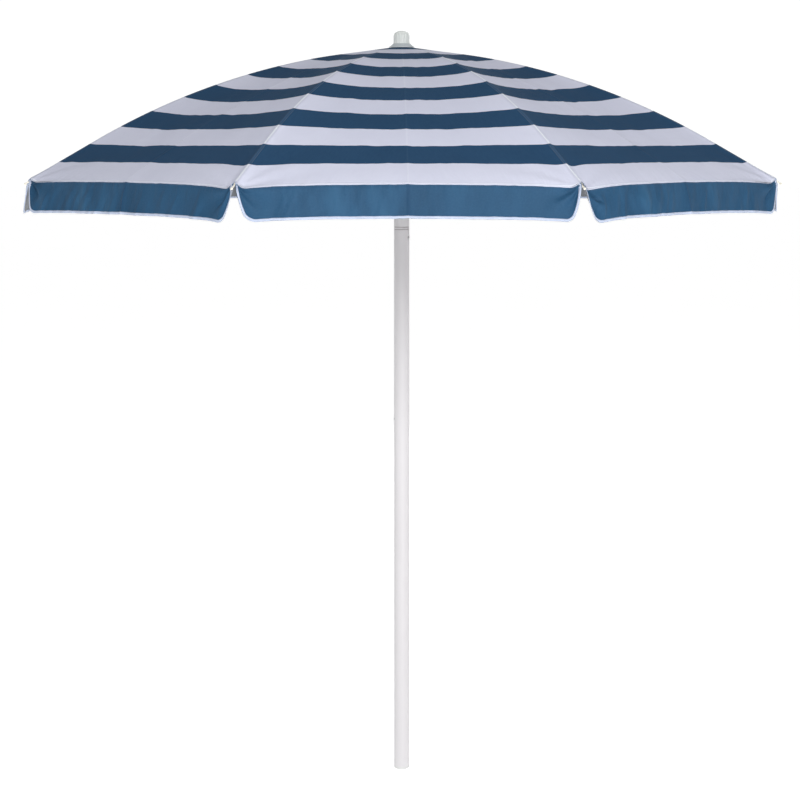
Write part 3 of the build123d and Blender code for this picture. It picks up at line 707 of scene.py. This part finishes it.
def binding_path(side, near, far_end):
    """Points (lateral, drop) along the edge to bind, with the inward direction at each."""
    path = []
    corner = ENDS[side][3]
    foot = valance_edge(VALANCE_DROP, side)
    steps = END_COLUMNS - 1 if near else SIDE_COLUMNS - 1
    for n in range(steps + 1):
        path.append((near + (min(foot, far_end) - near) * n / steps, VALANCE_DROP, 0.0, -1.0))
    if far_end > foot:
        for degrees in range(CORNER_STEP, 90, CORNER_STEP):
            a = math.radians(degrees)
            drop = VALANCE_DROP - corner * (1 - math.cos(a))
            path.append((valance_edge(drop, side), drop, *edge_inward(drop, side)))
        for n in range(END_CELLS + 1):
            drop = (VALANCE_DROP - corner) * (1 - n / END_CELLS)
            path.append((valance_edge(drop, side), drop, *edge_inward(drop, side)))
    return path


# Half of the tape's section, as (across, height) shares, and its mirror image. The bound edge
# lies at the start.
HALF_RING = [(0.12, 0.75), (0.4, 1.0), (0.8, 0.9), (1.0, 0.35)]
RING = [(0.0, 0.0), *HALF_RING, *((across, -height) for across, height in HALF_RING[::-1])]
TAPE_HALF = 0.0010  # half the folded tape's thickness


def binding_piece(index, side):
    """White tape folded over the edge of one valance piece."""
    vertices, cloth, faces = [], [], []
    for half in [-side] if side else [1, -1]:
        panel = panel_beside(index, half)
        path = binding_path(half, 0.0, SPLIT) if side else binding_path(half, SPLIT, RADIUS)
        first, along, last = len(vertices), 0.0, None
        for lateral, drop, in_x, in_y in path:
            along += math.hypot(lateral - last[0], drop - last[1]) if last else 0.0
            last = (lateral, drop)
            for across, height in RING:
                inward = across * BINDING
                x = lateral + in_x * inward
                y = max(0.0, drop + in_y * inward)
                point = valance_point(panel, half * x, y)
                vertices.append(point + outward(panel) * (TAPE_HALF * height - CLOTH / 2))
                cloth.append((along, inward))
        size = len(RING)
        for station in range(len(path) - 1):
            for n in range(size):
                a = first + station * size + n
                b = first + station * size + (n + 1) % size
                face = (a, b, b + size, a + size)
                faces.append(face if half > 0 else face[::-1])
        if not side:  # the tape's upper end; its other ends run on into the next piece
            cap = tuple(range(len(vertices) - size, len(vertices)))
            faces.append(cap if half > 0 else cap[::-1])
    name = f"binding_{index + 1}_{side_name(side)}"
    made = mesh_object(name, vertices, faces, {"cloth": cloth}, [TAPE])
    carry(made, index)
    return made


for rib in range(RIBS):
    for part in (0, 1, -1):
        cloth_piece = canopy_strip(rib, part)
        hanging, area, fullness = valance_piece(rib, part)
        tape = binding_piece(rib, part)


# ---------------------------------------------------------------- materials of the CAD nodes
def moulded(name, dark, light, roughness, grain=0.00004, coat=0.0):
    """Moulded plastic: faint colour drift, fine grain and soft handling marks."""
    graph = Graph(name, light, roughness, Coat_Weight=coat, Coat_Roughness=0.25)
    place = graph.place()
    slow = graph.noise(place, 18.0, 4.0)
    marks = graph.noise(graph.stretch(place, 1, 1, 0.2), 160.0, 3.0)
    colour = graph.mix(slow, dark, light)
    graph.put("Base Color", graph.mix(graph.math("MULTIPLY", marks, 0.12), colour, dark))
    graph.put("Roughness", graph.math("MULTIPLY_ADD", marks, 0.2, roughness - 0.08))
    graph.bump(graph.noise(place, 1400.0, 2.0), grain)
    return graph.material


def coated_tube():
    """White powder coat on steel tube: orange peel, faint scuffs along the tube."""
    coat = {"Coat_Weight": 0.1, "Coat_Roughness": 0.3}
    graph = Graph("pole_white_powder_coat", (0.7, 0.7, 0.7), 0.4, **coat)
    place = graph.place()
    slow = graph.noise(graph.stretch(place, 1, 1, 0.3), 9.0, 4.0)
    scuff = graph.noise(graph.stretch(place, 1, 1, 0.04), 420.0, 3.0)
    colour = graph.mix(slow, tone(204, 201, 203), tone(213, 211, 213))
    scuffed = graph.math("MULTIPLY", graph.math("GREATER_THAN", scuff, 0.66), 0.10)
    colour = graph.mix(scuffed, colour, tone(186, 184, 186))
    # darker, pinkish lines in the two crimped grooves
    height = graph.parts(place)[2]
    grooves = [graph.line(height, z, 0.0007, 0.0005) for z in GROOVES]
    groove_tint = graph.math("MULTIPLY", graph.math("MAXIMUM", *grooves), 0.6)
    graph.put("Base Color", graph.mix(groove_tint, colour, tone(132, 118, 122)))
    graph.put("Roughness", graph.math("MULTIPLY_ADD", scuff, 0.22, 0.30))
    peel = graph.noise(place, 620.0, 2.0)
    graph.bump(graph.math("MULTIPLY_ADD", scuff, 0.3, peel), 0.00006)
    return graph.material


def plated(name, dark, light, roughness, along=0.05):
    """Drawn or rolled steel with plating: streaks along the part, small dull spots."""
    graph = Graph(name, light, roughness, Metallic=0.9)
    place = graph.place()
    cloud = graph.noise(place, 60.0, 5.0)
    streak = graph.noise(graph.stretch(place, 1, 1, along), 900.0, 2.0)
    colour = graph.mix(cloud, dark, light)
    graph.put("Base Color", graph.mix(graph.math("MULTIPLY", streak, 0.3), colour, dark))
    graph.put("Roughness", graph.math("MULTIPLY_ADD", cloud, 0.25, roughness - 0.1))
    graph.bump(graph.math("MULTIPLY_ADD", streak, 0.4, cloud), 0.00005)
    return graph.material


def fluted_cap():
    """Moulded cap with fine upright flutes round its side."""
    graph = Graph("finial_fluted_white", (0.8, 0.8, 0.8), 0.32, Coat_Weight=0.3, Coat_Roughness=0.2)
    place = graph.place()
    x, y, z = graph.parts(place)
    turn = graph.math("ARCTAN2", y, x)
    flute = graph.math("SINE", graph.math("MULTIPLY", turn, FLUTES))
    flute = graph.math("MULTIPLY", flute, graph.line(z, *CAP_SIDE, 0.003))
    slow = graph.noise(place, 40.0, 4.0)
    colour = graph.mix(slow, tone(234, 240, 236), tone(247, 250, 248))
    # painted shade: the sloped flange below the fluted side is darker
    painted_flange_shade = graph.line(z, *CAP_FLANGE, 0.0015)
    colour = graph.mix(graph.math("MULTIPLY", painted_flange_shade, 0.8), colour, tone(178, 186, 192))
    shade = graph.math("MULTIPLY_ADD", flute, -0.09, 0.09)
    graph.put("Base Color", graph.mix(shade, colour, tone(150, 158, 156)))
    graph.put("Roughness", graph.math("MULTIPLY_ADD", slow, 0.12, 0.27))
    graph.bump(graph.math("MULTIPLY_ADD", graph.noise(place, 900.0), 0.04, flute), 0.0007)
    return graph.material


FINISHES = {
    "pole": coated_tube(),
    "joint": moulded("joint_grey_white_plastic", tone(196, 196, 196), tone(218, 218, 217), 0.45),
    "steel": plated("zinc_plated_steel", tone(150, 152, 156), tone(196, 198, 202), 0.38),
    "spring": plated("spring_steel", tone(168, 168, 170), tone(214, 214, 216), 0.25),
    "hub": moulded("hub_white_plastic", tone(214, 214, 208), tone(234, 234, 229), 0.42),
    "cap": fluted_cap(),
    "tip": moulded("tip_ivory_plastic", tone(226, 220, 204), tone(243, 239, 226), 0.4, coat=0.2),
}
for entry in frame["record"]["subparts"]:
    if entry["material_slot"] in FINISHES:
        node = NODES[entry["node"]]
        node.data.materials.clear()
        node.data.materials.append(FINISHES[entry["material_slot"]])


# ---------------------------------------------------------------- floor, light and camera
def pale_floor():
    """Pale grey that shines a little, so that it stays white in the umbrella's shade."""
    glow = {"Emission_Color": (1.0, 1.0, 1.0), "Emission_Strength": 0.68}
    graph = Graph("floor_pale", (0.9, 0.9, 0.9), 0.8, **glow)
    drift = graph.noise(graph.place(), 1.2, 2.0)
    graph.put("Base Color", graph.mix(drift, (0.88, 0.88, 0.88), (0.92, 0.92, 0.92)))
    return graph.material


def disc(name, radius, material):
    """Round floor under the umbrella's foot."""
    mesh = bpy.data.meshes.new(name)
    edit = bmesh.new()
    bmesh.ops.create_circle(edit, cap_ends=True, radius=radius, segments=128)
    edit.to_mesh(mesh)
    edit.free()
    mesh.materials.append(material)
    made = bpy.data.objects.new(name, mesh)
    bpy.context.scene.collection.objects.link(made)


disc("floor", 60.0, pale_floor())


def studio_world():
    """White behind the umbrella, dimmer overhead, at the sides and in front."""
    world = bpy.data.worlds.new("studio")
    world.use_nodes = True
    tree = world.node_tree
    background = tree.nodes["Background"]
    direction = tree.nodes.new("ShaderNodeTexCoord")
    split = tree.nodes.new("ShaderNodeSeparateXYZ")
    tree.links.new(direction.outputs["Generated"], split.inputs[0])
    both = tree.nodes.new("ShaderNodeMath")
    both.operation = "MULTIPLY"
    # brightness falls off with height, and towards the front
    falls = ((2, (0.12, 0.75, 1.05, 0.42)), (1, (0.75, 0.1, 1.0, 0.42)))
    for slot, (axis, limits) in enumerate(falls):
        fall = tree.nodes.new("ShaderNodeMapRange")
        fall.interpolation_type = "SMOOTHSTEP"
        for socket, value in zip(("From Min", "From Max", "To Min", "To Max"), limits):
            fall.inputs[socket].default_value = value
        tree.links.new(split.outputs[axis], fall.inputs["Value"])
        tree.links.new(fall.outputs[0], both.inputs[slot])
    # the backdrop itself is seen plain white from every side
    seen = tree.nodes.new("ShaderNodeLightPath")
    backdrop = tree.nodes.new("ShaderNodeMix")
    backdrop.inputs[3].default_value = 1.05
    tree.links.new(seen.outputs["Is Camera Ray"], backdrop.inputs[0])
    tree.links.new(both.outputs[0], backdrop.inputs[2])
    tree.links.new(backdrop.outputs[0], background.inputs["Strength"])
    background.inputs["Color"].default_value = (1, 1, 1, 1)
    bpy.context.scene.world = world


def soft_light(name, place, target, size, power):
    """Rectangular white light that the camera doesn't see."""
    light = bpy.data.lights.new(name, "AREA")
    light.shape = "RECTANGLE"
    light.size, light.size_y = size
    light.energy = power
    made = bpy.data.objects.new(name, light)
    made.location = place
    made.rotation_euler = (Vector(target) - Vector(place)).to_track_quat("-Z", "Y").to_euler()
    made.visible_camera = False
    bpy.context.scene.collection.objects.link(made)


studio_world()
soft_light("key", (0.6, -4.8, 2.9), (0.0, 0.0, 1.2), (2.4, 2.0), 163)
soft_light("fill", (1.2, -4.4, 0.5), (0.0, 0.0, 0.5), (2.0, 1.0), 12)
soft_light("back", (0.4, 4.8, 2.0), (0.0, 0.0, 1.3), (2.6, 1.6), 60)

# The frame is shifted off the lens's axis, in shares of the picture's width.
CAMERA_SHIFT = (-0.0021, -0.15)
CAMERA_DISTANCE = 4.0555
CAMERA_HEIGHT = 1.3164
CAMERA_TURN = math.radians(0.9)
CAMERA_PITCH = math.radians(3.938)
LENS = 87.633  # focal length in millimetres, for a sensor 36 mm wide
camera = bpy.data.cameras.new("camera")
camera.sensor_width = 36
camera.lens = LENS
camera.shift_x, camera.shift_y = CAMERA_SHIFT
eye = bpy.data.objects.new("camera", camera)
eye.location = (
    -CAMERA_DISTANCE * math.sin(CAMERA_TURN),
    -CAMERA_DISTANCE * math.cos(CAMERA_TURN),
    CAMERA_HEIGHT,
)
eye.rotation_euler = (math.pi / 2 - CAMERA_PITCH, 0, -CAMERA_TURN)
bpy.context.scene.collection.objects.link(eye)
bpy.context.scene.camera = eye
bpy.context.scene.view_settings.view_transform = "Standard"
